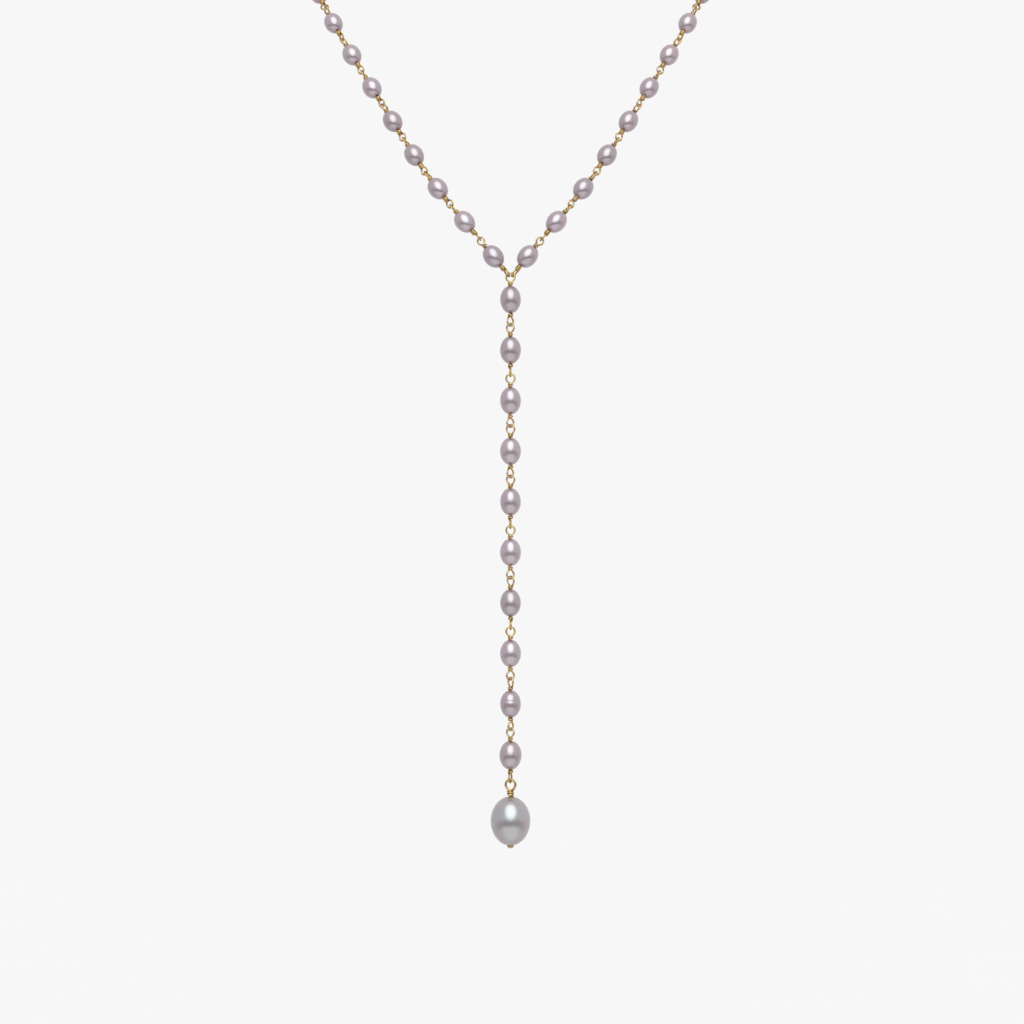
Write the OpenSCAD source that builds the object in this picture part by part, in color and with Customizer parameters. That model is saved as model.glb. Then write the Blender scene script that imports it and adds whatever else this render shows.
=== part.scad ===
// Lariat necklace of oval pearls on wrapped wire links, in the form it takes when it is worn.
// Millimetres, +Z up, the front faces -Y. The origin is the nape, at the middle of the clasp.

/* [Neck pearls] */
// Width of the neck pearl next to the drop
front_pearl_w = 4.85; // [4:0.05:6]
// Length of the neck pearl next to the drop
front_pearl_l = 6.2; // [5:0.05:9]
// Width of the neck pearl next to the clasp
back_pearl_w = 4.55; // [4:0.05:6]
// Length of the neck pearl next to the clasp
back_pearl_l = 5.8; // [5:0.05:9]

/* [Drop pearls] */
// Width of a drop pearl
drop_pearl_w = 5.2; // [4:0.05:6]
// Length of a drop pearl
drop_pearl_l = 6.9; // [5:0.05:9]
// Width of the last pearl of the drop
last_pearl_w = 5.55; // [4:0.05:6.5]
// Length of the last pearl of the drop
last_pearl_l = 7.25; // [5:0.05:9]

/* [Wire links] */
// Diameter of the link wire
wire_d = 0.45; // [0.3:0.05:0.5]
// Outer width of a wrapped loop in the drop
drop_loop_d = 2.6; // [2.4:0.05:3.2]
// Outer width of a wrapped loop in the neck
neck_loop_d = 2.3; // [2.1:0.05:3.2]
// Turns of the wrap at each end of a drop link
drop_wrap_turns = 2; // [1:1:4]
// Turns of the wrap at the end of a neck link towards the drop
neck_front_wrap_turns = 3; // [1:1:4]
// Turns of the wrap at the end of a neck link towards the clasp
neck_back_wrap_turns = 2; // [1:1:4]
// Height from one turn of a link's wrap to the next
turn_pitch = 0.5; // [0.4:0.01:0.6]
// Diameter of the hole that a pearl is strung through
bore_d = 0.8; // [0.7:0.05:1.2]

/* [Pendant] */
// Width of the large pearl
pendant_w = 9.9; // [7:0.1:13]
// Length of the large pearl
pendant_l = 12.3; // [8:0.1:16]
// Diameter of the hole through the large pearl
pendant_bore_d = 1; // [0.9:0.05:1.5]
// Diameter of the headpin wire
pin_d = 0.6; // [0.4:0.05:0.7]
// Outer width of the headpin's loop
pin_loop_d = 3.05; // [2.8:0.05:4]
// Turns of the headpin's wrap
pin_turns = 3; // [1:1:4]
// Height from one turn of the headpin's wrap to the next
pin_turn_pitch = 0.52; // [0.4:0.01:0.8]
// Diameter of the headpin's domed foot
foot_d = 1.7; // [1.4:0.1:3]
// Height of the headpin's domed foot
foot_h = 0.6; // [0.4:0.05:1]

/* [Clasp] */
// Length of the clasp's olive-shaped barrel
clasp_l = 9; // [6:0.5:16]
// Diameter of the barrel at its middle
clasp_d = 3.6; // [2.5:0.1:5]
// Outer width of the ring at each end of the barrel
clasp_ring_d = 3; // [2.6:0.1:4]
// Diameter of the ring's wire
clasp_wire_d = 0.6; // [0.4:0.05:0.8]

/* [Clearances] */
// Gap between two wires that hang in each other
link_gap = 0.13; // [0.12:0.01:0.2]
// Gap round the two neck loops that hang side by side in the drop's top loop
meeting_gap = 0.18; // [0.16:0.01:0.25]
// Gap between a pearl and the wrap or foot next to it
seat_gap = 0.1; // [0.1:0.01:0.2]

/* [Hidden] */
$fn = 48;
pearl_color = [0.72, 0.65, 0.68];
grey_color = [0.72, 0.71, 0.73];
gold_color = [0.83, 0.67, 0.35];

// The way of one side of the neck loop, a row for each link from the drop up to the clasp.
// heading turns from straight out to the side round to the back, and climb is the rise.
// Both are in degrees.
STRAND_ROUTE = [
  [13, 51], [24, 48], [32, 49], [37, 52], [38, 53], [38, 53], [40, 53], [47, 52], [59, 49],
  [73, 44], [90, 39], [107, 33], [123, 26], [138, 20], [152, 14], [165, 8], [177, 2],
];
HEADING = 0;
CLIMB = 1;

// How far the two loops of each joint are turned about their links, in degrees: first the loop
// on the clasp's side of the joint, then the other. Where a link hangs straight down, 0 is seen
// face-on from the front and 90 edge-on.
DROP_TWISTS = [
  [52, -32], [90, 0], [38, -28], [50, -30], [88, 0], [34, -46], [90, 4], [30, -60], [54, -33],
  [75, -15],
];

// The same for the neck, from the drop up. Its last row serves all the joints after it too.
NECK_TWISTS = [
  [72, 10], [10, 87], [0, 83], [0, 69], [13, 98], [-4, 68], [20, 101], [120, 20],
];
CLASP_SIDE = 0;
DROP_SIDE = 1;

// Twist of the two neck loops that meet in the top loop of the drop
meeting_twist = 65;

// A wrap's core stays short of its first and last turns by this share of the wire.
CORE_SHORT = 0.15;
// A stem runs into the wrap or foot beyond it by this share of the wire.
STEM_INTO = 0.4;

// An end of a link: the turns of its wrap, and its loop's twist
TURNS = 0;
TWIST = 1;

strand_count = len(STRAND_ROUTE);
drop_count = len(DROP_TWISTS);

// A reach is the length of wire beyond a pearl's drill hole, as far as the joint.
half_cross = (wire_d + link_gap) / 2;
drop_reach = link_reach(drop_wrap_turns, drop_loop_d);
neck_front_reach = link_reach(neck_front_wrap_turns, neck_loop_d);
neck_back_reach = link_reach(neck_back_wrap_turns, neck_loop_d);

pin_cross = (wire_d + pin_d) / 2 + link_gap - half_cross;
pin_reach = reach(wrap_l(pin_d, pin_turns, pin_turn_pitch), pin_d, pin_loop_d, pin_cross);
pendant_half = drilled_l(pendant_w, pendant_l, pendant_bore_d) / 2;

clasp_ring_r = (clasp_ring_d - clasp_wire_d) / 2;
clasp_cross = (wire_d + clasp_wire_d) / 2 + link_gap - half_cross;
clasp_ring_x = clasp_l / 2 + clasp_ring_r;
clasp_reach = clasp_ring_x + clasp_ring_r - clasp_cross;

// Where the two neck loops hang side by side in the top loop of the drop
side_by_side = (wire_d + meeting_gap) / 2;
drop_loop_r = (drop_loop_d - wire_d) / 2;
hang_lift = sqrt(pow(drop_loop_r - wire_d - meeting_gap, 2) - pow(side_by_side, 2));

// Length of a wrap of wire, from its first turn to its last
function wrap_l(d, turns, pitch) = d + (turns - 1) * pitch;

// A loop is bedded in its wrap by half the wire.
function reach(wrap, d, loop, cross) = seat_gap + wrap - d / 2 + loop - d / 2 - cross;
function link_reach(turns, loop) =
  reach(wrap_l(wire_d, turns, turn_pitch), wire_d, loop, half_cross);

// Length of an oval pearl between the two rims of its drill hole
function drilled_l(w, l, bore) = l * sqrt(1 - pow(bore / w, 2));

function strand_share(i) = i / (strand_count - 1);
function strand_pearl_w(i) = front_pearl_w + (back_pearl_w - front_pearl_w) * strand_share(i);
function strand_pearl_l(i) = front_pearl_l + (back_pearl_l - front_pearl_l) * strand_share(i);
function strand_half(i) = drilled_l(strand_pearl_w(i), strand_pearl_l(i), bore_d) / 2;
function strand_link_l(i) = neck_front_reach + 2 * strand_half(i) + neck_back_reach;

// The chain of one side, link by link, before it is turned to meet the other side
function link_way(i) = let (h = STRAND_ROUTE[i][HEADING], c = STRAND_ROUTE[i][CLIMB])
  [cos(c) * cos(h), cos(c) * sin(h), sin(c)];
function strand_way(i) = i == 0 ? [0, 0, 0]
  : strand_way(i - 1) + link_way(i - 1) * strand_link_l(i - 1);

// The whole side is turned about the vertical through its front end until its back end
// reaches the clasp, with its front end beside the middle of the necklace.
strand_end = strand_way(strand_count);
strand_run = norm([strand_end.x, strand_end.y]);
front_x = side_by_side + half_cross * cos(STRAND_ROUTE[0][CLIMB]) * cos(STRAND_ROUTE[0][HEADING]);
strand_yaw = acos((clasp_reach - front_x) / strand_run) - atan2(strand_end.y, strand_end.x);
function turned(p) = [
  p.x * cos(strand_yaw) - p.y * sin(strand_yaw),
  p.x * sin(strand_yaw) + p.y * cos(strand_yaw),
  p.z
];
front_end = [clasp_reach, 0, 0] - turned(strand_end);
function strand_joint(i) = front_end + turned(strand_way(i));

// The middle of the drop's top joint, under the two neck loops
meeting = front_end - half_cross * turned(link_way(0));
drop_top = [0, meeting.y, meeting.z + drop_loop_r - half_cross - hang_lift];

function drop_pearl_width(i) = i == drop_count - 1 ? last_pearl_w : drop_pearl_w;
function drop_pearl_length(i) = i == drop_count - 1 ? last_pearl_l : drop_pearl_l;
function drop_half(i) = drilled_l(drop_pearl_width(i), drop_pearl_length(i), bore_d) / 2;
function drop_joint(i) = i == 0 ? drop_top
  : drop_joint(i - 1) - [0, 0, 2 * (drop_reach + drop_half(i - 1))];
function drop_centre(i) = drop_joint(i) - [0, 0, drop_reach + drop_half(i)];
pendant_centre = drop_joint(drop_count) - [0, 0, pin_reach + pendant_half];

function neck_twist(joint, side) = NECK_TWISTS[min(joint, len(NECK_TWISTS)) - 1][side];
function drop_twist(joint, side) = DROP_TWISTS[joint - 1][side];
function two_figures(n) = n < 10 ? str("0", n) : str(n);
function drop_node(kind, i) = str("drop_", kind, "_", two_figures(i + 1));

// An oval pearl, drilled along Z
module oval_pearl(w, l, bore) {
  rotate_extrude() intersection() {
    scale([w / 2, l / 2]) circle(1);
    translate([bore / 2, -l]) square([w, 2 * l]);
  }
}

// Half profile of a wrap: turns of wire of diameter d on a core, from z = 0 upwards
module wrap_profile(d, turns, pitch) {
  translate([0, CORE_SHORT * d]) square([d, wrap_l(d, turns, pitch) - 2 * CORE_SHORT * d]);
  for (i = [0 : turns - 1]) translate([d, d / 2 + i * pitch]) circle(d / 2);
}

// A closed wire ring in the XZ plane
module wire_ring(r, d) {
  rotate([90, 0, 0]) rotate_extrude() translate([r, 0]) circle(d / 2);
}

// Half profile of the straight stem of a wire of diameter d, up to seat on each side of the
// middle and into the wraps or foot beyond
module stem_profile(d, seat) {
  end = seat + STEM_INTO * d;
  translate([0, -end]) square([d / 2, 2 * end]);
}

// The end of a wire of diameter d above its stem: the wrap from z = 0, and the loop on it. Both
// are twisted together, so that the loop always meets its wrap in the same way.
module wrapped_loop(d, turns, pitch, loop, twist) {
  r = (loop - d) / 2;
  rotate([0, 0, twist]) {
    rotate_extrude() wrap_profile(d, turns, pitch);
    translate([0, 0, wrap_l(d, turns, pitch) + r]) wire_ring(r, d);
  }
}

// The wire of one link along Z, for a pearl drilled half up and half down from the origin
module link_wire(half, loop, lower, upper) {
  seat = half + seat_gap;
  color(gold_color) {
    rotate_extrude() stem_profile(wire_d, seat);
    translate([0, 0, seat])
      wrapped_loop(wire_d, upper[TURNS], turn_pitch, loop, upper[TWIST]);
    mirror([0, 0, 1]) translate([0, 0, seat])
      wrapped_loop(wire_d, lower[TURNS], turn_pitch, loop, lower[TWIST]);
  }
}

// Sets a child that runs up along Z round its middle into the place of link i of a side.
module at_link(i) {
  translate(strand_joint(i))
    rotate([0, 90 - STRAND_ROUTE[i][CLIMB], STRAND_ROUTE[i][HEADING] + strand_yaw])
      translate([0, 0, neck_front_reach + strand_half(i)]) children();
}

module strand_pearls() {
  color(pearl_color) for (i = [0 : strand_count - 1])
    at_link(i) oval_pearl(strand_pearl_w(i), strand_pearl_l(i), bore_d);
}

module strand_wires() {
  for (i = [0 : strand_count - 1]) {
    lower_twist = i == 0 ? meeting_twist : neck_twist(i, CLASP_SIDE);
    upper_twist = i == strand_count - 1 ? 0 : neck_twist(i + 1, DROP_SIDE);
    at_link(i) link_wire(strand_half(i), neck_loop_d, [neck_front_wrap_turns, lower_twist],
      [neck_back_wrap_turns, upper_twist]);
  }
}

module neck_pearls_right() strand_pearls();
module neck_pearls_left() mirror([1, 0, 0]) strand_pearls();
module neck_wires_right() strand_wires();
module neck_wires_left() mirror([1, 0, 0]) strand_wires();

module drop_pearl(i) {
  color(pearl_color) translate(drop_centre(i))
    oval_pearl(drop_pearl_width(i), drop_pearl_length(i), bore_d);
}

module drop_wire(i) {
  upper_twist = i == 0 ? 0 : drop_twist(i, DROP_SIDE);
  translate(drop_centre(i)) link_wire(drop_half(i), drop_loop_d,
    [drop_wrap_turns, drop_twist(i + 1, CLASP_SIDE)], [drop_wrap_turns, upper_twist]);
}

module pendant_pearl() {
  color(grey_color) translate(pendant_centre) oval_pearl(pendant_w, pendant_l, pendant_bore_d);
}

module pendant_headpin() {
  seat = pendant_half + seat_gap;
  color(gold_color) translate(pendant_centre) {
    rotate_extrude() {
      stem_profile(pin_d, seat);
      foot_profile(seat);
    }
    translate([0, 0, seat]) wrapped_loop(pin_d, pin_turns, pin_turn_pitch, pin_loop_d,
      drop_twist(drop_count, DROP_SIDE));
  }
}

// Half profile of the headpin's domed foot, flat where the pearl sits on it
module foot_profile(seat) {
  translate([0, -seat]) intersection() {
    scale([foot_d / 2, foot_h]) circle(1);
    translate([0, -foot_h]) square([foot_d, foot_h]);
  }
}

module clasp() {
  color(gold_color) {
    rotate([0, 90, 0]) rotate_extrude() intersection() {
      scale([clasp_d / 2, clasp_l / 2]) circle(1);
      translate([0, -clasp_l]) square([clasp_d, 2 * clasp_l]);
    }
    for (side = [-1, 1]) translate([side * clasp_ring_x, 0, 0]) rotate([90, 0, 0])
      wire_ring(clasp_ring_r, clasp_wire_d);
  }
}

neck_pearls_left();
neck_pearls_right();
neck_wires_left();
neck_wires_right();
for (i = [0 : drop_count - 1]) drop_pearl(i);
for (i = [0 : drop_count - 1]) drop_wire(i);
pendant_pearl();
pendant_headpin();
clasp();
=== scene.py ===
"""The looks of a lariat necklace, round its fixed frame: oval pearls on links of wrapped wire.

Metres, +Z up, the front faces -Y. Every size and place is read from the frame's solids.
"""

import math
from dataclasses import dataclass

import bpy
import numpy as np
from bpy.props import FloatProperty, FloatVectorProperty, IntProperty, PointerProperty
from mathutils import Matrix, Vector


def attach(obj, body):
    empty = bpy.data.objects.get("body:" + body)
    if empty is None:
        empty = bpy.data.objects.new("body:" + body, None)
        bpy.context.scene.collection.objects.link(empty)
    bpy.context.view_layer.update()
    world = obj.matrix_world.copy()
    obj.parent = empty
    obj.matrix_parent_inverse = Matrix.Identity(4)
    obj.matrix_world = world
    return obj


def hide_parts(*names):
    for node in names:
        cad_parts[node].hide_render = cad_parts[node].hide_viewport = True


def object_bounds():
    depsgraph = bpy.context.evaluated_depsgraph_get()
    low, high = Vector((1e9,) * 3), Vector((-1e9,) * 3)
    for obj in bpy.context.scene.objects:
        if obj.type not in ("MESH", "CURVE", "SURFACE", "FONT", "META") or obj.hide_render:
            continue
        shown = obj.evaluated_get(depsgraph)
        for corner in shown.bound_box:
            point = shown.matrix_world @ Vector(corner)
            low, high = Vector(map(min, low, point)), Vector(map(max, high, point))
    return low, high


bl_info = {
    "name": "Lariat Necklace",
    "version": (1, 0, 0),
    "blender": (4, 5, 0),
    "location": "View3D > Sidebar > Necklace",
    "description": "Pearls of nacre and links of wrapped gold wire on the necklace's frame",
    "category": "Add Mesh",
}

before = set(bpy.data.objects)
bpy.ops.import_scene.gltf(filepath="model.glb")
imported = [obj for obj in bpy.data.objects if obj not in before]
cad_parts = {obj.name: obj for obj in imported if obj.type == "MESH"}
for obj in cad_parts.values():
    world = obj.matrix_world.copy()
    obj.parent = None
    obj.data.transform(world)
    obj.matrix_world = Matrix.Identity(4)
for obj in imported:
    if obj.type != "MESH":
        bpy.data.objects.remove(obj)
cad_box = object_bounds()

MM = 0.001
SIDES = ("left", "right")
DROP_COUNT = sum(name.startswith("drop_pearl_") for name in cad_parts)

# First seeds of the groups of pieces, how far apart those of the neck's two sides start, and
# how far the seed of a pearl's tone lies from the seed of its growth
NECK_PEARL_SEED = 100
NECK_LINK_SEED = 300
DROP_PEARL_SEED = 500
DROP_LINK_SEED = 600
PENDANT_SEED = 700
SIDE_SEEDS = 50
TONE_SEEDS = 1000

# Marks on single pearls. A groove runs round a pearl at a share of its half length, and its
# depth and half width are shares too. A dimple's place is a share of the pearl's half sizes,
# with the front at -Y, and its depth and half width are lengths.
MARKS = {
    "pearl_drop_09": {"groove": (0.25, 0.022, 0.055)},
    "pearl_right_03": {"dimple": ((-0.42, -0.82, 0.38), 0.03 * MM, 0.3 * MM)},
    "pearl_left_03": {"dimple": ((0.25, -0.78, 0.57), 0.03 * MM, 0.3 * MM)},
}


# Settings

class PearlSettings(bpy.types.PropertyGroup):
    """Colours and growth of the pearls"""

    mauve: FloatVectorProperty(
        name="Mauve", description="Body colour of the small pearls", subtype="COLOR",
        size=3, min=0, max=1, default=(0.495, 0.41, 0.46))
    mauve_overtone: FloatVectorProperty(
        name="Mauve overtone", description="Patches of the second colour on the small pearls",
        subtype="COLOR", size=3, min=0, max=1, default=(0.52, 0.405, 0.45))
    # Darker, browner ends round the drill holes: partly the pearls' own colour, partly painted
    # shade and a painted reflection of the wire next to them
    mauve_tip_and_shade: FloatVectorProperty(
        name="Mauve tips", description="Colour of the small pearls round their drill holes",
        subtype="COLOR", size=3, min=0, max=1, default=(0.38, 0.24, 0.25))
    grey: FloatVectorProperty(
        name="Silver grey", description="Body colour of the large pearl", subtype="COLOR",
        size=3, min=0, max=1, default=(0.475, 0.448, 0.468))
    grey_overtone: FloatVectorProperty(
        name="Grey overtone", description="Patches of the second colour on the large pearl",
        subtype="COLOR", size=3, min=0, max=1, default=(0.49, 0.435, 0.46))
    # Darker, warmer ends round the drill hole: partly the pearl's own colour, partly painted
    # shade and a painted reflection of the wire next to it
    grey_tip_and_shade: FloatVectorProperty(
        name="Grey tips", description="Colour of the large pearl round its drill hole",
        subtype="COLOR", size=3, min=0, max=1, default=(0.42, 0.37, 0.36))
    unevenness: FloatProperty(
        name="Unevenness", description="How far the waves of a grown surface stray from an oval",
        unit="LENGTH", min=0, max=0.0001, default=0.000004)
    around: IntProperty(
        name="Faces around", description="Faces round the middle of a small pearl",
        min=24, max=160, default=80)


class WireSettings(bpy.types.PropertyGroup):
    """Colour and wrapping of the wire"""

    gold: FloatVectorProperty(
        name="Gold", description="Colour of the polished wire", subtype="COLOR",
        size=3, min=0, max=1, default=(0.68, 0.475, 0.22))
    # Painted shade: a dark brown laid into streaks along the wire, standing in for the wire's
    # shading
    gold_painted_shade: FloatVectorProperty(
        name="Gold shade", description="Colour of the wire in its drawing lines",
        subtype="COLOR", size=3, min=0, max=1, default=(0.27, 0.14, 0.03))
    seat_gap: FloatProperty(
        name="Seat gap", description="Gap between a pearl and the wrap or foot next to it",
        unit="LENGTH", min=0, max=0.0005, default=0.00002)
    leg_angle: FloatProperty(
        name="Leg angle",
        description="Where a loop's straight legs leave its round, from the wrap",
        subtype="ANGLE", min=0.5, max=1.4, default=math.radians(48))
    sides: IntProperty(
        name="Wire sides", description="Faces round the wire", min=8, max=24, default=12)


class StageSettings(bpy.types.PropertyGroup):
    """Camera, light and floor"""

    camera_distance: FloatProperty(
        name="Camera distance", description="From the lens to the plane of the drop",
        unit="LENGTH", min=0.3, max=3, default=0.6)
    view_width: FloatProperty(
        name="View width", description="Width of the picture at the plane of the drop",
        unit="LENGTH", min=0.1, max=1, default=0.256)
    backdrop: FloatProperty(
        name="Backdrop", description="Brightness of the pale backdrop",
        min=0, max=1, default=0.93)
    wall: FloatProperty(
        name="Walls", description="Brightness of the studio's walls", min=0, max=5, default=0.68)
    window: FloatProperty(
        name="Window", description="Brightness of the oval soft window above the camera",
        min=0, max=20, default=2.35)
    table: FloatProperty(
        name="Table", description="Brightness of the pale table in front of the necklace",
        min=0, max=5, default=0.98)
    floor_drop: FloatProperty(
        name="Floor", description="How far the floor lies below the pendant", unit="LENGTH",
        min=0.01, max=0.5, default=0.045)


# What the frame's solids say

@dataclass
class Loop:
    """A wrapped loop: a ring of wire, and the wrap between it and its pearl.

    ring_at and wrap_at are how far along the wire they lie from the middle of the pearl."""
    side: np.ndarray
    ring_at: float
    radius: float
    wire: float
    wrap_at: float


@dataclass
class Pearl:
    """A drilled oval pearl. Its tips are where its drill hole comes out."""
    centre: np.ndarray
    axis: np.ndarray
    width: float
    length: float
    bore: float

    @property
    def rim_at(self):
        """How far the rims of the drill hole lie from the middle of the pearl"""
        return self.length / 2 * math.sqrt(1 - (self.bore / self.width) ** 2)


@dataclass
class Clasp:
    """The clasp at the nape: a barrel along X, and a ring of wire at each of its ends."""
    radius: float
    half_length: float
    ring_at: float
    ring_radius: float
    ring_wire: float


def unit(vector):
    """The same direction with length 1."""
    return vector / np.linalg.norm(vector)


def solids(node):
    """The corner points of each loose solid of a CAD node."""
    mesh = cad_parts[node].data
    points = np.empty(len(mesh.vertices) * 3, np.float32)
    mesh.vertices.foreach_get("co", points)
    points, corner = np.unique(points.reshape(-1, 3), axis=0, return_inverse=True)
    edges = np.empty(len(mesh.edges) * 2, np.int32)
    mesh.edges.foreach_get("vertices", edges)
    a, b = corner.ravel()[edges].reshape(-1, 2).T
    solid = np.arange(len(points))
    while True:
        lowest = solid.copy()
        np.minimum.at(lowest, a, solid[b])
        np.minimum.at(lowest, b, solid[a])
        lowest = lowest[lowest]
        if (lowest == solid).all():
            return [points[solid == s].astype(float) for s in np.unique(solid)]
        solid = lowest


def read_pearl(points):
    """The size and place of a drilled pearl, from the rims of its drill hole."""
    middle = points.mean(0)
    axis = np.linalg.eigh(np.cov((points - middle).T))[1][:, 2]
    axis *= math.copysign(1, axis[2])
    along = (points - middle) @ axis
    rim_depth = 0.01 * MM
    top = points[along > along.max() - rim_depth]
    bottom = points[along < along.min() + rim_depth]
    axis = top.mean(0) - bottom.mean(0)
    drilled = np.linalg.norm(axis)
    axis = axis / drilled
    centre = (top.mean(0) + bottom.mean(0)) / 2
    away = points - centre
    width = 2 * np.linalg.norm(away - np.outer(away @ axis, axis), axis=1).max()
    bore = 2 * np.linalg.norm(top - top.mean(0), axis=1).mean()
    length = drilled / math.sqrt(1 - (bore / width) ** 2)
    return Pearl(centre, axis, width, length, bore)


def read_loop(points, pearl, outward, seat_gap):
    """The ring at one end of a wire, from that wire's points beyond its pearl."""
    away = points - pearl.centre
    along = away @ outward
    beyond = along > pearl.length / 2
    away, along = away[beyond], along[beyond]
    across = away - np.outer(along, outward)
    outer = np.linalg.norm(across, axis=1).max()
    ring_at = along.max() - outer
    ring = across[abs(along - ring_at) < outer / 2]
    side = unit(np.linalg.eigh(ring.T @ ring)[1][:, 2])
    thickness = abs(ring @ np.cross(outward, side)).max() * 2
    return Loop(side, ring_at, outer - thickness / 2, thickness, pearl.rim_at + seat_gap)


def read_clasp(points):
    """The size of the clasp, whose ring starts where it is thinnest along X."""
    out, across, deep = points[:, 0], abs(points[:, 1]), abs(points[:, 2])
    end = out.max()
    places = np.linspace(0.3, 0.9, 25) * end
    nearby = 0.2 * MM
    widths = [across[abs(out - place) < nearby].max() for place in places]
    ring_outer = across[out > places[np.argmin(widths)]].max()
    ring_wire = deep[out > end - ring_outer / 2].max() * 2
    half_length = end - 2 * ring_outer + ring_wire / 2
    return Clasp(np.hypot(across, deep).max(), half_length, end - ring_outer,
                 ring_outer - ring_wire / 2, ring_wire)


def neck_pearls(side):
    """The pearls of one side of the neck, from the drop back to the clasp."""
    found = [read_pearl(points) for points in solids(f"neck_pearls_{side}")]
    return sorted(found, key=lambda pearl: pearl.centre[1])


def wire_of(pearl, wires):
    """Of several wires, the one that goes through a pearl."""
    return min(wires, key=lambda points: np.linalg.norm(points.mean(0) - pearl.centre))


# Meshes

@dataclass
class Shell:
    """A closed surface, with the values that its material reads.

    The grain is where each point lies in the pattern, and tip runs from 0 round the middle of
    a pearl to 1 at its ends."""
    points: np.ndarray
    faces: list
    grain: np.ndarray
    tip: np.ndarray | float = 0.0
    tone: float = 0.0


def grid_faces(rows, around, closed):
    """Quads between rows of points that each go once round."""
    last = rows if closed else rows - 1
    faces = []
    for row in range(last):
        a, b = row * around, (row + 1) % rows * around
        for i in range(around):
            j = (i + 1) % around
            faces.append((a + i, a + j, b + j, b + i))
    return faces


def turned_profile(profile, around):
    """Points of a profile of (radius, height) turned round Z, row by row."""
    angle = np.linspace(0, math.tau, around, endpoint=False)
    ring = np.column_stack([np.cos(angle), np.sin(angle), np.zeros(around)])
    rows = [ring * radius + [0, 0, height] for radius, height in profile]
    return np.concatenate(rows)


def placed(points, centre, x_axis, z_axis):
    """Points of a part drawn along Z, moved to where its centre and axes are."""
    y_axis = np.cross(z_axis, x_axis)
    return centre + points @ np.array([x_axis, y_axis, z_axis])


def square_to(axis):
    """A unit vector square to an axis."""
    helper = np.array([0.0, 1.0, 0.0]) if abs(axis[1]) < 0.9 else np.array([1.0, 0.0, 0.0])
    return unit(np.cross(helper, axis))


def grown_surface(points, pearl, unevenness, seed, groove=None, dimple=None):
    """Moves an oval's points as a pearl grows: lopsided, slightly out of round, in slow waves.

    The rims of the drill hole stay where they are."""
    rng = np.random.default_rng(seed)
    half_w, half_l = pearl.width / 2, pearl.length / 2
    share = points[:, 2] / half_l
    angle = np.arctan2(points[:, 1], points[:, 0])
    freedom = np.clip(1 - abs(share) ** 6, 0, 1)
    out_of_round, lean, egg = rng.uniform([0.003, 0.004, -0.016], [0.011, 0.014, 0.016])
    round_turn, lean_turn = rng.uniform(0, math.tau, 2)
    grow = 1 + freedom * (
        out_of_round * np.cos(2 * (angle - round_turn))
        + lean * share * np.cos(angle - lean_turn)
        + egg * share * (1 - share ** 2))
    if groove:
        at, depth, half_wide = groove
        grow -= depth * np.exp(-((share - at) / half_wide) ** 2)
    radius = np.hypot(points[:, 0], points[:, 1])
    waves = np.zeros(len(points))
    for wavelength, amount in ((4.2, 1.0), (2.6, 0.6), (1.7, 0.35)):
        for _ in range(3):
            way = unit(rng.normal(size=3)) * math.tau / (wavelength * MM)
            waves += amount * np.sin(points @ way + rng.uniform(0, math.tau))
    if dimple:
        at, depth, half_wide = dimple
        far = np.linalg.norm(points - np.array(at) * [half_w, half_w, half_l], axis=1)
        waves -= depth / unevenness * np.exp(-(far / half_wide) ** 2)
    moved = points.copy()
    shift = grow + freedom * waves * unevenness / np.maximum(radius, half_w / 4)
    moved[:, :2] *= shift[:, None]
    return moved


def pearl_shell(pearl, around, settings, seed, tone, **marks):
    """A drilled pearl: an oval grown in layers, with a soft lip round its drill hole."""
    half_w, half_l, bore_r = pearl.width / 2, pearl.length / 2, pearl.bore / 2
    rim_angle = math.asin(bore_r / half_w)
    rim_height = half_l * math.cos(rim_angle)
    lip = 0.12 * bore_r
    lip_r, lip_height = bore_r + lip * 0.3, rim_height - lip * 0.25
    oval_start = rim_angle * 1.06
    oval = [(half_w * math.sin(t), half_l * math.cos(t))
            for t in np.linspace(oval_start, math.pi - oval_start, around * 3 // 4)]
    wall = [(bore_r, share * (rim_height - lip)) for share in (-1, -0.5, 0, 0.5, 1)]
    profile = wall + [(lip_r, lip_height)] + oval + [(lip_r, -lip_height)]
    points = turned_profile(profile, around)
    tip = abs(points[:, 2]) / half_l
    outside = slice(len(wall) * around, None)
    points[outside] = grown_surface(points[outside], pearl, settings.unevenness, seed, **marks)
    pattern_at = np.random.default_rng(seed).uniform(-1, 1, 3) * 100 * MM
    return Shell(placed(points, pearl.centre, square_to(pearl.axis), pearl.axis),
                 grid_faces(len(profile), around, closed=True), points + pattern_at, tip, tone)


def bezier(start, start_way, end, end_way, count):
    """A smooth bend from a start to an end, with the ways it leaves and arrives."""
    t = np.linspace(0, 1, count)[:, None]
    a, b, c, d = start, start + start_way, end - end_way, end
    return (1 - t) ** 3 * a + 3 * (1 - t) ** 2 * t * b + 3 * (1 - t) * t ** 2 * c + t ** 3 * d


# How finely a loop's wire is drawn: points in its round and legs, and the angle between those
# of its wrap
ROUND_POINTS = 44
LEG_POINTS = 12
WRAP_STEP = math.radians(15)


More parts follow.
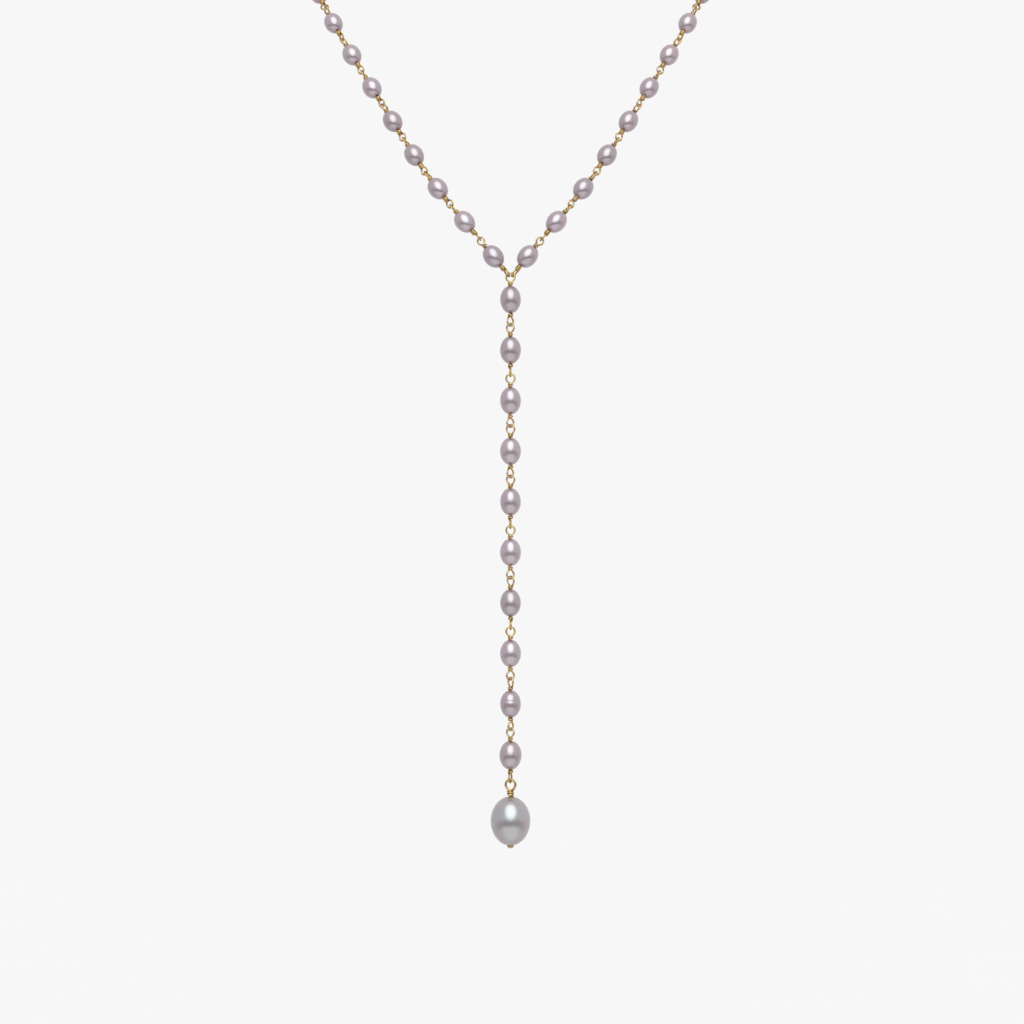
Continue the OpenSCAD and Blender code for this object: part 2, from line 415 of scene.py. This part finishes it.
def wrapped_end(loop, leg_angle, hand, tail):
    """The way of a wire from its stem, round its loop and back in a wrap to its cut end.

    Worked out with X to the loop's side and Z outward. Two nearly straight legs join the round
    of the loop to the wrap, whose last turn lies flat for the angle of its tail. The wire
    leans aside as it goes round, so that it passes its own stem."""
    wire, radius = loop.wire, loop.radius
    neck = loop.ring_at - radius
    lean = 0.4 * wire * hand
    theta = np.linspace(leg_angle, math.tau - leg_angle, ROUND_POINTS)
    share = (theta - leg_angle) / (math.tau - 2 * leg_angle)
    round_part = np.column_stack([
        radius * np.sin(theta), lean * (share ** 2 * 1.4 - 0.4 * share),
        loop.ring_at - radius * np.cos(theta)])
    stem_top = np.array([0, 0, neck - 0.55 * wire])
    way_out = unit(round_part[1] - round_part[0])
    leg_length = np.linalg.norm(round_part[0] - stem_top)
    leg_out = bezier(stem_top, np.array([0.10, 0, 0.16]) * leg_length,
                     round_part[0], way_out * leg_length * 0.6, LEG_POINTS)
    wrap_top, wrap_bottom = neck - wire / 2, loop.wrap_at + wire / 2
    turn_pitch = wire * 1.01
    start_angle = math.radians(72)
    coiled = (wrap_top - wrap_bottom) / turn_pitch * math.tau
    angle = np.arange(start_angle, start_angle + coiled + tail, WRAP_STEP)
    drop = np.minimum((angle - start_angle) / math.tau * turn_pitch, wrap_top - wrap_bottom)
    wrap = np.column_stack([
        -wire * np.cos(angle), hand * wire * np.sin(angle), wrap_top - drop])
    way_back = unit(round_part[-1] - round_part[-2])
    leg_length = np.linalg.norm(wrap[0] - round_part[-1])
    leg_back = bezier(round_part[-1], way_back * leg_length * 0.5,
                      wrap[0], unit(wrap[1] - wrap[0]) * leg_length * 0.3, LEG_POINTS)
    stem = [[0, 0, loop.wrap_at]]
    return np.concatenate([stem, leg_out, round_part[1:], leg_back[1:], wrap[1:]])


def lengths_along(path):
    """How far along a path each of its points lies."""
    gaps = np.linalg.norm(np.diff(path, axis=0), axis=1)
    return np.concatenate([[0], np.cumsum(gaps)])


def evenly(path, step):
    """The same path with its points a step apart."""
    along = lengths_along(path)
    count = max(2, round(along[-1] / step) + 1)
    wanted = np.linspace(0, along[-1], count)
    return np.column_stack([np.interp(wanted, along, path[:, i]) for i in range(3)])


def tube_shell(path, thickness, sides):
    """A round wire along a path, with its cut ends slightly rounded."""
    ways = np.gradient(path, axis=0)
    ways /= np.linalg.norm(ways, axis=1)[:, None]
    up = square_to(ways[0])
    along = lengths_along(path)
    angle = np.linspace(0, math.tau, sides, endpoint=False)
    radius = thickness / 2
    # A station is a point of the path, a shift along it in thicknesses, and a scale
    start = [(0, -0.12, 0.78), (0, -0.02, 0.95)]
    end = [(len(path) - 1, -shift, scale) for _, shift, scale in reversed(start)]
    stations = start + [(i, 0, 1) for i in range(len(path))] + end
    frames = []
    for way in ways:
        up = unit(up - (up @ way) * way)
        frames.append((up, np.cross(way, up)))
    points, grain = [], []
    for i, shift, scale in stations:
        a, b = frames[i]
        ring = np.cos(angle)[:, None] * a + np.sin(angle)[:, None] * b
        points.append(path[i] + ways[i] * shift * thickness + ring * radius * scale)
        grain.append(np.column_stack([
            np.cos(angle) * radius, np.sin(angle) * radius, np.full(sides, along[i])]))
    faces = grid_faces(len(stations), sides, closed=False)
    last = (len(stations) - 1) * sides
    faces += [tuple(reversed(range(sides))), tuple(range(last, last + sides))]
    return Shell(np.concatenate(points), faces, np.concatenate(grain))


def lathe_shell(profile, centre, x_axis, z_axis, around):
    """A solid turned from a profile of (radius, height) whose ends lie on its axis."""
    points = turned_profile(profile[1:-1], around)
    rows = len(profile) - 2
    faces = grid_faces(rows, around, closed=False)
    poles = np.array([[0, 0, profile[0][1]], [0, 0, profile[-1][1]]])
    first, last = len(points), len(points) + 1
    for i in range(around):
        j = (i + 1) % around
        faces.append((first, j, i))
        faces.append((last, (rows - 1) * around + i, (rows - 1) * around + j))
    points = np.concatenate([points, poles])
    return Shell(placed(points, centre, x_axis, z_axis), faces, points)


def ring_shell(centre, side, outward, radius, thickness, around, sides):
    """A closed ring of wire."""
    angle = np.linspace(0, math.tau, sides, endpoint=False)
    spread, rise = np.cos(angle) * thickness / 2, np.sin(angle) * thickness / 2
    square = np.cross(outward, side)
    points, grain = [], []
    for turn in np.linspace(0, math.tau, around, endpoint=False):
        spoke = math.cos(turn) * side + math.sin(turn) * outward
        points.append(centre + (radius + spread)[:, None] * spoke + rise[:, None] * square)
        grain.append(np.column_stack([spread, rise, np.full(sides, turn * radius)]))
    return Shell(np.concatenate(points), grid_faces(around, sides, closed=True),
                 np.concatenate(grain))


def foot_shell(points, seat, pearl, x_axis):
    """The headpin's domed foot below its seat under the pearl, sized from the pin's points."""
    below = points[(points - seat) @ -pearl.axis > 0] - seat
    height = (below @ -pearl.axis).max()
    radius = np.linalg.norm(np.cross(below, pearl.axis), axis=1).max()
    flat = [(0, 0), (radius * 0.5, 0)]
    edge = [(radius * 0.93, height * 0.02), (radius * 0.985, height * 0.08)]
    dome = [(radius * math.sin(t), height * math.cos(t)) for t in np.linspace(1.42, 0, 12)]
    return lathe_shell(flat + edge + dome, seat, x_axis, -pearl.axis, around=40)


def barrel_shell(clasp, ring_side, outward):
    """The clasp's olive-shaped barrel, with a fine seam round its middle."""
    seam_depth, seam_width, rows = 0.05 * MM, 0.12 * MM, 65
    half = clasp.half_length
    side = [(clasp.radius * math.sin(t), half * math.cos(t))
            for t in np.linspace(math.pi, 0, rows)[1:-1]]
    side = [(r - seam_depth * math.exp(-(z / seam_width) ** 2), z) for r, z in side]
    profile = [(0, -half), *side, (0, half)]
    return lathe_shell(profile, np.zeros(3), ring_side, outward, around=56)


def add_piece(name, shells, material, body, node):
    """Makes one piece of closed shells, which rides on a body and stands for a CAD node."""
    points = np.concatenate([shell.points for shell in shells])
    faces, first = [], 0
    for shell in shells:
        faces += [tuple(first + i for i in face) for face in shell.faces]
        first += len(shell.points)
    mesh = bpy.data.meshes.new(name)
    mesh.from_pydata(points.tolist(), [], faces)
    grain = mesh.attributes.new("grain", "FLOAT_VECTOR", "POINT")
    grain.data.foreach_set("vector", np.concatenate([shell.grain for shell in shells]).ravel())
    for label in ("tip", "tone"):
        values = [np.full(len(shell.points), getattr(shell, label)) for shell in shells]
        attribute = mesh.attributes.new(label, "FLOAT", "POINT")
        attribute.data.foreach_set("value", np.concatenate(values))
    mesh.shade_smooth()
    mesh.materials.append(material)
    piece = bpy.data.objects.new(name, mesh)
    bpy.context.scene.collection.objects.link(piece)
    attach(piece, body)
    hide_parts(node)


# Materials

def add_node(tree, kind, inputs=None, **settings):
    """Adds a node, with its settings, and with its inputs set to values or linked to sockets."""
    made = tree.nodes.new(kind)
    for name, value in settings.items():
        setattr(made, name, value)
    for name, value in (inputs or {}).items():
        socket = made.inputs[name]
        if isinstance(value, bpy.types.NodeSocket):
            tree.links.new(value, socket)
        else:
            socket.default_value = value
    return made


def maths(tree, operation, *values):
    """The result of a maths node."""
    made = add_node(tree, "ShaderNodeMath", dict(enumerate(values)), operation=operation)
    return made.outputs["Value"]


def scaled(tree, vector, factor):
    """A vector or a colour times a factor."""
    made = add_node(tree, "ShaderNodeVectorMath", {0: vector, "Scale": factor}, operation="SCALE")
    return made.outputs["Vector"]


def stored(tree, label, output="Fac"):
    """A value that the mesh holds at each point."""
    return add_node(tree, "ShaderNodeAttribute", attribute_name=label).outputs[output]


def mixed(tree, amount, a, b):
    """Two colours mixed by an amount."""
    made = add_node(tree, "ShaderNodeMix", {0: amount, 6: a, 7: b}, data_type="RGBA")
    return made.outputs[2]


def ramp_between(tree, value, low, high, to_low=0.0, to_high=1.0, smooth=True):
    """A value taken from one range to another, without going past its ends."""
    kind = "SMOOTHSTEP" if smooth else "LINEAR"
    made = add_node(tree, "ShaderNodeMapRange", {
        "Value": value, "From Min": low, "From Max": high, "To Min": to_low, "To Max": to_high},
        interpolation_type=kind)
    return made.outputs["Result"]


def noise_at(tree, vector, scale, detail=2.0, roughness=0.5):
    """Noise of a given fineness, in features for each unit of the vector."""
    made = add_node(tree, "ShaderNodeTexNoise", {
        "Vector": vector, "Scale": scale, "Detail": detail, "Roughness": roughness})
    return made.outputs["Fac"]


def opaque(colour):
    """A colour of three values with full alpha."""
    return (*colour, 1.0)


def new_group(name, colours, numbers):
    """A shader node group with named colours and numbers as inputs. Gives its tree and inputs."""
    tree = bpy.data.node_groups.new(name, "ShaderNodeTree")
    for label, colour in colours.items():
        socket = tree.interface.new_socket(label, in_out="INPUT", socket_type="NodeSocketColor")
        socket.default_value = opaque(colour)
    for label, number in numbers.items():
        socket = tree.interface.new_socket(label, in_out="INPUT", socket_type="NodeSocketFloat")
        socket.default_value = number
    return tree, tree.nodes.new("NodeGroupInput").outputs


def put_out(tree, colour, roughness, height):
    """Gives a group its outputs, and links a value to each."""
    for label, kind in (("Color", "NodeSocketColor"), ("Roughness", "NodeSocketFloat"),
                        ("Height", "NodeSocketFloat")):
        tree.interface.new_socket(label, in_out="OUTPUT", socket_type=kind)
    leave = tree.nodes.new("NodeGroupOutput")
    for socket, value in zip(leave.inputs, (colour, roughness, height)):
        tree.links.new(value, socket)


def grown_nacre_group():
    """Layered nacre: its colour, darker at its ends partly by its own colour and partly by
    painted shade and a painted reflection of the wire, how rough it is, and the height of its
    growth lines.
    """
    name = "Grown nacre"
    if name in bpy.data.node_groups:
        return bpy.data.node_groups[name]
    tree, inputs = new_group(
        name,
        {"Body": (0.5, 0.4, 0.45), "Overtone": (0.5, 0.4, 0.4), "Tip and shade": (0.4, 0.3, 0.3)},
        {"Patches per mm": 0.3, "Least roughness": 0.2})
    in_mm = scaled(tree, stored(tree, "grain", "Vector"), 1 / MM)
    patches = noise_at(tree, in_mm, inputs["Patches per mm"], detail=3)
    patch_mask = ramp_between(tree, patches, 0.38, 0.66)
    body = mixed(tree, patch_mask, inputs["Body"], inputs["Overtone"])
    # The ends round the drill holes take the tip colour: partly the nacre's own colour, partly
    # painted shade and a painted reflection of the wire
    tip_and_shade_mask = ramp_between(tree, stored(tree, "tip"), 0.72, 1.02, 0.0, 0.85)
    body = mixed(tree, tip_and_shade_mask, body, inputs["Tip and shade"])
    banded = add_node(tree, "ShaderNodeTexWave", {
        "Vector": in_mm, "Scale": 0.55, "Distortion": 3.0, "Detail": 3.0, "Detail Scale": 1.3},
        wave_type="BANDS", bands_direction="Z").outputs["Fac"]
    cloud = noise_at(tree, in_mm, 1.7, detail=5, roughness=0.6)
    clouded = maths(tree, "MULTIPLY_ADD", cloud, 0.07, 0.965)
    value = maths(tree, "MULTIPLY_ADD", stored(tree, "tone"), 0.07, clouded)
    shaded = add_node(tree, "ShaderNodeHueSaturation", {"Value": value, "Color": body})
    fine = noise_at(tree, in_mm, 9.0, detail=4, roughness=0.65)
    roughness = maths(tree, "MULTIPLY_ADD", fine, 0.05, inputs["Least roughness"])
    lumps = noise_at(tree, in_mm, 1.1, detail=2)
    skin = maths(tree, "MULTIPLY_ADD", fine, 0.03, lumps)
    height = maths(tree, "MULTIPLY_ADD", banded, 0.25, skin)
    put_out(tree, shaded.outputs["Color"], roughness, height)
    return tree


def drawn_metal_group():
    """Wire drawn through a die: streaks along it, darkened by painted shade, and small dents."""
    name = "Drawn metal"
    if name in bpy.data.node_groups:
        return bpy.data.node_groups[name]
    tree, inputs = new_group(
        name,
        {"Polished": (0.8, 0.6, 0.3), "Shade": (0.6, 0.4, 0.1)},
        {"Streaks per mm": 9.0, "Least roughness": 0.14})
    in_mm = scaled(tree, stored(tree, "grain", "Vector"), 1 / MM)
    lengthwise = add_node(tree, "ShaderNodeVectorMath", {0: in_mm, 1: (1.0, 1.0, 0.05)},
                          operation="MULTIPLY").outputs["Vector"]
    streaks = noise_at(tree, lengthwise, inputs["Streaks per mm"], detail=3, roughness=0.6)
    dents = noise_at(tree, in_mm, 2.4, detail=2)
    # Painted shade: the streaks take the dark shade colour, which stands in for the wire's
    # shading
    painted_shade_mask = ramp_between(tree, streaks, 0.48, 0.70, 0.0, 0.8)
    metal = mixed(tree, painted_shade_mask, inputs["Polished"], inputs["Shade"])
    handled = ramp_between(tree, dents, 0.35, 0.7, 0.0, 0.14)
    dulled = maths(tree, "MULTIPLY_ADD", streaks, 0.08, handled)
    roughness = maths(tree, "ADD", inputs["Least roughness"], dulled)
    height = maths(tree, "MULTIPLY_ADD", streaks, 0.25, dents)
    put_out(tree, metal, roughness, height)
    return tree


def new_material(name):
    """An empty node material with its tree and output node."""
    material = bpy.data.materials.new(name)
    material.use_nodes = True
    tree = material.node_tree
    tree.nodes.clear()
    return material, tree, tree.nodes.new("ShaderNodeOutputMaterial")


def surface_from(tree, group, group_inputs, bump_depth, shader_inputs):
    """A Principled surface whose colour, roughness and bump come from a node group."""
    effect = add_node(tree, "ShaderNodeGroup", node_tree=group)
    for label, value in group_inputs.items():
        effect.inputs[label].default_value = value
    bump = add_node(tree, "ShaderNodeBump", {
        "Height": effect.outputs["Height"], "Distance": bump_depth})
    return add_node(tree, "ShaderNodeBsdfPrincipled", {
        "Base Color": effect.outputs["Color"], "Roughness": effect.outputs["Roughness"],
        "Normal": bump.outputs["Normal"], **shader_inputs})


def nacre_material(name, body, overtone, tip, patches, rim):
    """Nacre: a soft mirror under clear layers, lit a little from inside, with a tinted rim.

    The patches of overtone are counted in a millimetre."""
    if name in bpy.data.materials:
        return bpy.data.materials[name]
    material, tree, out = new_material(name)
    surface = surface_from(tree, grown_nacre_group(), {
        # The tip colour: partly the nacre's own colour at its ends, partly painted shade and a
        # painted reflection of the wire
        "Body": opaque(body), "Overtone": opaque(overtone), "Tip and shade": opaque(tip),
        "Patches per mm": patches, "Least roughness": 0.2,
    }, 0.0012 * MM, {
        "Metallic": 0.62, "IOR": 1.6, "Subsurface Weight": 0.12,
        "Subsurface Radius": (1.0, 0.75, 0.8), "Subsurface Scale": 0.4 * MM,
        "Coat Weight": 1.0, "Coat Roughness": 0.12, "Coat IOR": 1.65,
        "Sheen Weight": 0.12, "Sheen Roughness": 0.35, "Sheen Tint": opaque(rim),
        "Thin Film Thickness": 320.0, "Thin Film IOR": 1.45,
    })
    tree.links.new(surface.outputs["BSDF"], out.inputs["Surface"])
    return material


def gold_material(name, gold, shade, streaks, least_roughness):
    """Polished gold with painted shade in its drawing lines, which are counted in a millimetre.
    """
    if name in bpy.data.materials:
        return bpy.data.materials[name]
    material, tree, out = new_material(name)
    surface = surface_from(tree, drawn_metal_group(), {
        "Polished": opaque(gold), "Shade": opaque(shade), "Streaks per mm": streaks,
        "Least roughness": least_roughness,
    }, 0.004 * MM, {"Metallic": 1.0, "Specular Tint": opaque((0.30, 0.19, 0.10))})
    tree.links.new(surface.outputs["BSDF"], out.inputs["Surface"])
    return material


def mauve_nacre():
    """The nacre of the small pearls."""
    look = bpy.context.scene.necklace_pearls
    return nacre_material("Mauve nacre", look.mauve, look.mauve_overtone, look.mauve_tip_and_shade,
                          patches=0.32, rim=(0.95, 0.72, 0.86))


def grey_nacre():
    """The nacre of the large pearl."""
    look = bpy.context.scene.necklace_pearls
    return nacre_material("Silver grey nacre", look.grey, look.grey_overtone, look.grey_tip_and_shade,
                          patches=0.16, rim=(0.95, 0.80, 0.88))


def wire_gold():
    """The gold of the links and the headpin."""
    look = bpy.context.scene.necklace_wire
    return gold_material("Drawn gold wire", look.gold, look.gold_painted_shade,
                         streaks=9.0, least_roughness=0.14)


def turned_gold():
    """The gold of the clasp."""
    look = bpy.context.scene.necklace_wire
    return gold_material("Turned gold", look.gold, look.gold_painted_shade,
                         streaks=2.5, least_roughness=0.16)


# Groups of pieces

def pearl_piece(name, pearl, node, seed, settings):
    """One small pearl, which is a little lighter or darker than the next."""
    tone = np.random.default_rng(seed + TONE_SEEDS).uniform(-1, 1)
    shell = pearl_shell(pearl, settings.around, settings, seed, tone, **MARKS.get(name, {}))
    add_piece(name, [shell], mauve_nacre(), "necklace", node)


def link_piece(name, pearl, points, node, seed, settings):
    """One link's wire: a stem through the pearl, with a loop and a wrap at each end."""
    rng = np.random.default_rng(seed)
    ends = []
    for outward in (pearl.axis, -pearl.axis):
        loop = read_loop(points, pearl, outward, settings.seat_gap)
        leg_angle = settings.leg_angle + rng.uniform(-0.08, 0.08)
        hand, tail = rng.choice([-1, 1]), rng.uniform(1.2, 2.4)
        path = evenly(wrapped_end(loop, leg_angle, hand, tail), loop.wire * 0.25)
        ends.append(placed(path, pearl.centre, loop.side, outward))
    path = np.concatenate([ends[0][::-1], ends[1]])
    shell = tube_shell(path, loop.wire, settings.sides)
    add_piece(name, [shell], wire_gold(), "necklace", node)


class NECKLACE_OT_neck_pearls(bpy.types.Operator):
    """The oval pearls of both sides of the neck loop"""

    bl_idname = "necklace.neck_pearls"
    bl_label = "Neck pearls"

    def execute(self, context):
        settings = context.scene.necklace_pearls
        for s, side in enumerate(SIDES):
            for i, pearl in enumerate(neck_pearls(side)):
                pearl_piece(f"pearl_{side}_{i + 1:02d}", pearl, f"neck_pearls_{side}",
                            NECK_PEARL_SEED + SIDE_SEEDS * s + i, settings)
        return {"FINISHED"}


class NECKLACE_OT_neck_links(bpy.types.Operator):
    """The wire links of both sides of the neck loop"""

    bl_idname = "necklace.neck_links"
    bl_label = "Neck links"

    def execute(self, context):
        settings = context.scene.necklace_wire
        for s, side in enumerate(SIDES):
            wires = solids(f"neck_wires_{side}")
            for i, pearl in enumerate(neck_pearls(side)):
                link_piece(f"link_{side}_{i + 1:02d}", pearl, wire_of(pearl, wires),
                           f"neck_wires_{side}", NECK_LINK_SEED + SIDE_SEEDS * s + i, settings)
        return {"FINISHED"}


class NECKLACE_OT_drop_pearls(bpy.types.Operator):
    """The oval pearls of the drop"""

    bl_idname = "necklace.drop_pearls"
    bl_label = "Drop pearls"

    def execute(self, context):
        settings = context.scene.necklace_pearls
        for i in range(DROP_COUNT):
            node = f"drop_pearl_{i + 1:02d}"
            pearl_piece(f"pearl_drop_{i + 1:02d}", read_pearl(solids(node)[0]), node,
                        DROP_PEARL_SEED + i, settings)
        return {"FINISHED"}


class NECKLACE_OT_drop_links(bpy.types.Operator):
    """The wire links of the drop"""

    bl_idname = "necklace.drop_links"
    bl_label = "Drop links"

    def execute(self, context):
        settings = context.scene.necklace_wire
        for i in range(DROP_COUNT):
            node = f"drop_wire_{i + 1:02d}"
            pearl = read_pearl(solids(f"drop_pearl_{i + 1:02d}")[0])
            link_piece(f"link_drop_{i + 1:02d}", pearl, solids(node)[0], node,
                       DROP_LINK_SEED + i, settings)
        return {"FINISHED"}


class NECKLACE_OT_pendant_pearl(bpy.types.Operator):
    """The large silver-grey pearl at the foot of the drop"""

    bl_idname = "necklace.pendant_pearl"
    bl_label = "Pendant pearl"

    def execute(self, context):
        settings = context.scene.necklace_pearls
        pearl = read_pearl(solids("pendant_pearl")[0])
        around = settings.around * 8 // 5
        shell = pearl_shell(pearl, around, settings, PENDANT_SEED, tone=0.0)
        add_piece("pearl_pendant", [shell], grey_nacre(), "pendant", "pendant_pearl")
        return {"FINISHED"}


class NECKLACE_OT_pendant_pin(bpy.types.Operator):
    """The large pearl's headpin: its foot, its stem, and its wrapped loop"""

    bl_idname = "necklace.pendant_pin"
    bl_label = "Pendant pin"

    def execute(self, context):
        settings = context.scene.necklace_wire
        pearl = read_pearl(solids("pendant_pearl")[0])
        points = solids("pendant_headpin")[0]
        loop = read_loop(points, pearl, pearl.axis, settings.seat_gap)
        path = evenly(wrapped_end(loop, settings.leg_angle, hand=-1, tail=1.6), loop.wire * 0.2)
        path = placed(path, pearl.centre, loop.side, pearl.axis)
        seat = pearl.centre - pearl.axis * (pearl.rim_at + settings.seat_gap)
        wire = tube_shell(np.concatenate([[seat], path]), loop.wire, settings.sides + 4)
        foot = foot_shell(points, seat, pearl, loop.side)
        add_piece("pendant_pin", [wire, foot], wire_gold(), "pendant", "pendant_headpin")
        return {"FINISHED"}


class NECKLACE_OT_clasp(bpy.types.Operator):
    """The plain olive-shaped clasp at the nape, with a ring at each end"""

    bl_idname = "necklace.clasp"
    bl_label = "Clasp"

    def execute(self, context):
        clasp = read_clasp(solids("clasp")[0])
        outward, ring_side = np.array([1.0, 0.0, 0.0]), np.array([0.0, 1.0, 0.0])
        shells = [barrel_shell(clasp, ring_side, outward)]
        for way in (-1, 1):
            shells.append(ring_shell(outward * way * clasp.ring_at, ring_side, outward,
                                     clasp.ring_radius, clasp.ring_wire, around=48, sides=16))
        add_piece("clasp_olive", shells, turned_gold(), "necklace", "clasp")
        return {"FINISHED"}


# Stage

# Where the middle of the necklace and of the large pearl lie in the picture of 1024 pixels
PICTURE_PX = 1024
MIDDLE_PX = 510.5
PENDANT_PX = 821.0


class NECKLACE_OT_stage(bpy.types.Operator):
    """The camera, the soft light and the pale floor and backdrop"""

    bl_idname = "necklace.stage"
    bl_label = "Stage"

    def execute(self, context):
        settings = context.scene.necklace_stage
        add_camera(context, settings)
        add_surroundings(context, settings)
        add_floor(context, settings)
        return {"FINISHED"}


def add_camera(context, settings):
    """A level camera in front of the drop, with the pendant where the picture has it."""
    pendant = read_pearl(solids("pendant_pearl")[0]).centre
    per_pixel = settings.view_width / PICTURE_PX
    data = bpy.data.cameras.new("Camera")
    data.lens = data.sensor_width * settings.camera_distance / settings.view_width
    data.clip_start = 0.01
    camera = bpy.data.objects.new("Camera", data)
    camera.location = (
        (PICTURE_PX / 2 - MIDDLE_PX) * per_pixel,
        pendant[1] - settings.camera_distance,
        pendant[2] + (PENDANT_PX - PICTURE_PX / 2) * per_pixel,
    )
    camera.rotation_euler = (math.radians(90), 0, 0)
    context.scene.collection.objects.link(camera)
    context.scene.camera = camera


def spot_of(tree, way, azimuth, elevation, edge, core):
    """1 in a round spot of the surroundings, and 0 outside it. Angles are in degrees.

    The azimuth is counted from the front to the right, and the spot fades from the angle of its
    core to that of its edge."""
    turn, rise = math.radians(azimuth), math.radians(elevation)
    middle = (math.sin(turn) * math.cos(rise), -math.cos(turn) * math.cos(rise), math.sin(rise))
    near = add_node(tree, "ShaderNodeVectorMath", {0: way, 1: middle}, operation="DOT_PRODUCT")
    return ramp_between(tree, near.outputs["Value"],
                        math.cos(math.radians(edge)), math.cos(math.radians(core)))


def add_surroundings(context, settings):
    """A studio with pale walls, an oval soft window above the camera, and a pale table.

    Between the window and the table lies a dark band in front of the necklace. The window's
    glass is colder towards its foot. The camera itself sees only the plain backdrop."""
    world = bpy.data.worlds.new("Studio")
    world.use_nodes = True
    tree = world.node_tree
    tree.nodes.clear()
    way = add_node(tree, "ShaderNodeTexCoord").outputs["Generated"]
    x, y, z = add_node(tree, "ShaderNodeSeparateXYZ", {0: way}).outputs
    window = maths(tree, "MAXIMUM",
                   spot_of(tree, way, azimuth=0, elevation=35, edge=40, core=12),
                   spot_of(tree, way, azimuth=0, elevation=45, edge=40, core=12))
    table = spot_of(tree, way, azimuth=2, elevation=-47, edge=54, core=22)
    height = maths(tree, "MULTIPLY_ADD", y, 0.17, z)
    above_foot = ramp_between(tree, height, -0.55, -0.43)
    below_head = ramp_between(tree, height, -0.03, -0.22)
    ahead = ramp_between(tree, y, 0.38, -0.9, smooth=False)
    band = maths(tree, "MULTIPLY", maths(tree, "MULTIPLY", above_foot, below_head), ahead)
    walls = maths(tree, "MULTIPLY_ADD", x, 0.055 * settings.wall, settings.wall)
    board = [settings.table * share for share in (1.0, 1.05, 1.03)]
    cold = ramp_between(tree, z, 0.36, -0.04)
    glass = mixed(tree, cold, opaque((1.0, 1.12, 1.05)), opaque((0.79, 1.0, 1.18)))
    lit = mixed(tree, table, walls, opaque(board))
    lit = mixed(tree, band, lit, opaque((0.235, 0.185, 0.155)))
    lit = mixed(tree, window, lit, scaled(tree, glass, settings.window))
    seen = add_node(tree, "ShaderNodeLightPath").outputs["Is Camera Ray"]
    colour = mixed(tree, seen, lit, opaque([settings.backdrop] * 3))
    light = add_node(tree, "ShaderNodeBackground", {"Color": colour})
    out = tree.nodes.new("ShaderNodeOutputWorld")
    tree.links.new(light.outputs["Background"], out.inputs["Surface"])
    context.scene.world = world
    context.scene.view_settings.view_transform = "Standard"


def add_floor(context, settings):
    """A pale floor below the pendant, whose edge fades into the backdrop."""
    radius, around = 0.45, 96
    rings = [(radius * share, 0.0) for share in (0.25, 0.6, 1.0)]
    points = np.concatenate([turned_profile(rings, around), np.zeros((1, 3))])
    faces = grid_faces(len(rings), around, closed=False)
    faces += [(len(points) - 1, i, (i + 1) % around) for i in range(around)]
    mesh = bpy.data.meshes.new("Floor")
    mesh.from_pydata(points.tolist(), [], faces)
    floor = bpy.data.objects.new("Floor", mesh)
    floor.location = (0, cad_box[0][1] / 2, cad_box[0][2] - settings.floor_drop)
    context.scene.collection.objects.link(floor)
    material, tree, out = new_material("Pale floor")
    at = add_node(tree, "ShaderNodeTexCoord").outputs["Object"]
    far = add_node(tree, "ShaderNodeVectorMath", {0: at}, operation="LENGTH").outputs["Value"]
    fade = ramp_between(tree, far, radius * 0.98, 0.12)
    mottle = noise_at(tree, at, 40.0, detail=3)
    pale = ramp_between(tree, mottle, 0.2, 0.8, 0.398, 0.402)
    paint = add_node(tree, "ShaderNodeBsdfDiffuse", {"Color": pale})
    glow = add_node(tree, "ShaderNodeEmission", {
        "Color": opaque((1.0, 0.963, 0.983)), "Strength": 0.54})
    lit = add_node(tree, "ShaderNodeAddShader", {0: paint.outputs[0], 1: glow.outputs[0]})
    clear = add_node(tree, "ShaderNodeBsdfTransparent")
    seen = add_node(tree, "ShaderNodeLightPath").outputs["Is Camera Ray"]
    shown = add_node(tree, "ShaderNodeMixShader", {
        0: maths(tree, "MULTIPLY", seen, fade), 1: clear.outputs[0], 2: lit.outputs[0]})
    tree.links.new(shown.outputs[0], out.inputs["Surface"])
    mesh.materials.append(material)


# The add-on

class NECKLACE_PT_panel(bpy.types.Panel):
    """The necklace's pieces and settings"""

    bl_label = "Lariat necklace"
    bl_idname = "NECKLACE_PT_panel"
    bl_space_type = "VIEW_3D"
    bl_region_type = "UI"
    bl_category = "Necklace"

    def draw(self, context):
        for operator in OPERATORS:
            self.layout.operator(operator.bl_idname)
        for group in SETTINGS:
            box = self.layout.box()
            settings = getattr(context.scene, group)
            for name in settings.bl_rna.properties.keys():
                if name not in ("rna_type", "name"):
                    box.prop(settings, name)


OPERATORS = (
    NECKLACE_OT_neck_pearls,
    NECKLACE_OT_neck_links,
    NECKLACE_OT_drop_pearls,
    NECKLACE_OT_drop_links,
    NECKLACE_OT_pendant_pearl,
    NECKLACE_OT_pendant_pin,
    NECKLACE_OT_clasp,
    NECKLACE_OT_stage,
)
SETTINGS = {
    "necklace_pearls": PearlSettings,
    "necklace_wire": WireSettings,
    "necklace_stage": StageSettings,
}
CLASSES = (*SETTINGS.values(), *OPERATORS, NECKLACE_PT_panel)


def register():
    for kind in CLASSES:
        bpy.utils.register_class(kind)
    for name, kind in SETTINGS.items():
        setattr(bpy.types.Scene, name, PointerProperty(type=kind))


def unregister():
    for name in SETTINGS:
        delattr(bpy.types.Scene, name)
    for kind in reversed(CLASSES):
        bpy.utils.unregister_class(kind)


def main():
    """Makes every piece and the stage."""
    register()
    for operator in OPERATORS:
        area, name = operator.bl_idname.split(".")
        getattr(getattr(bpy.ops, area), name)()


if __name__ == "__main__":
    main()
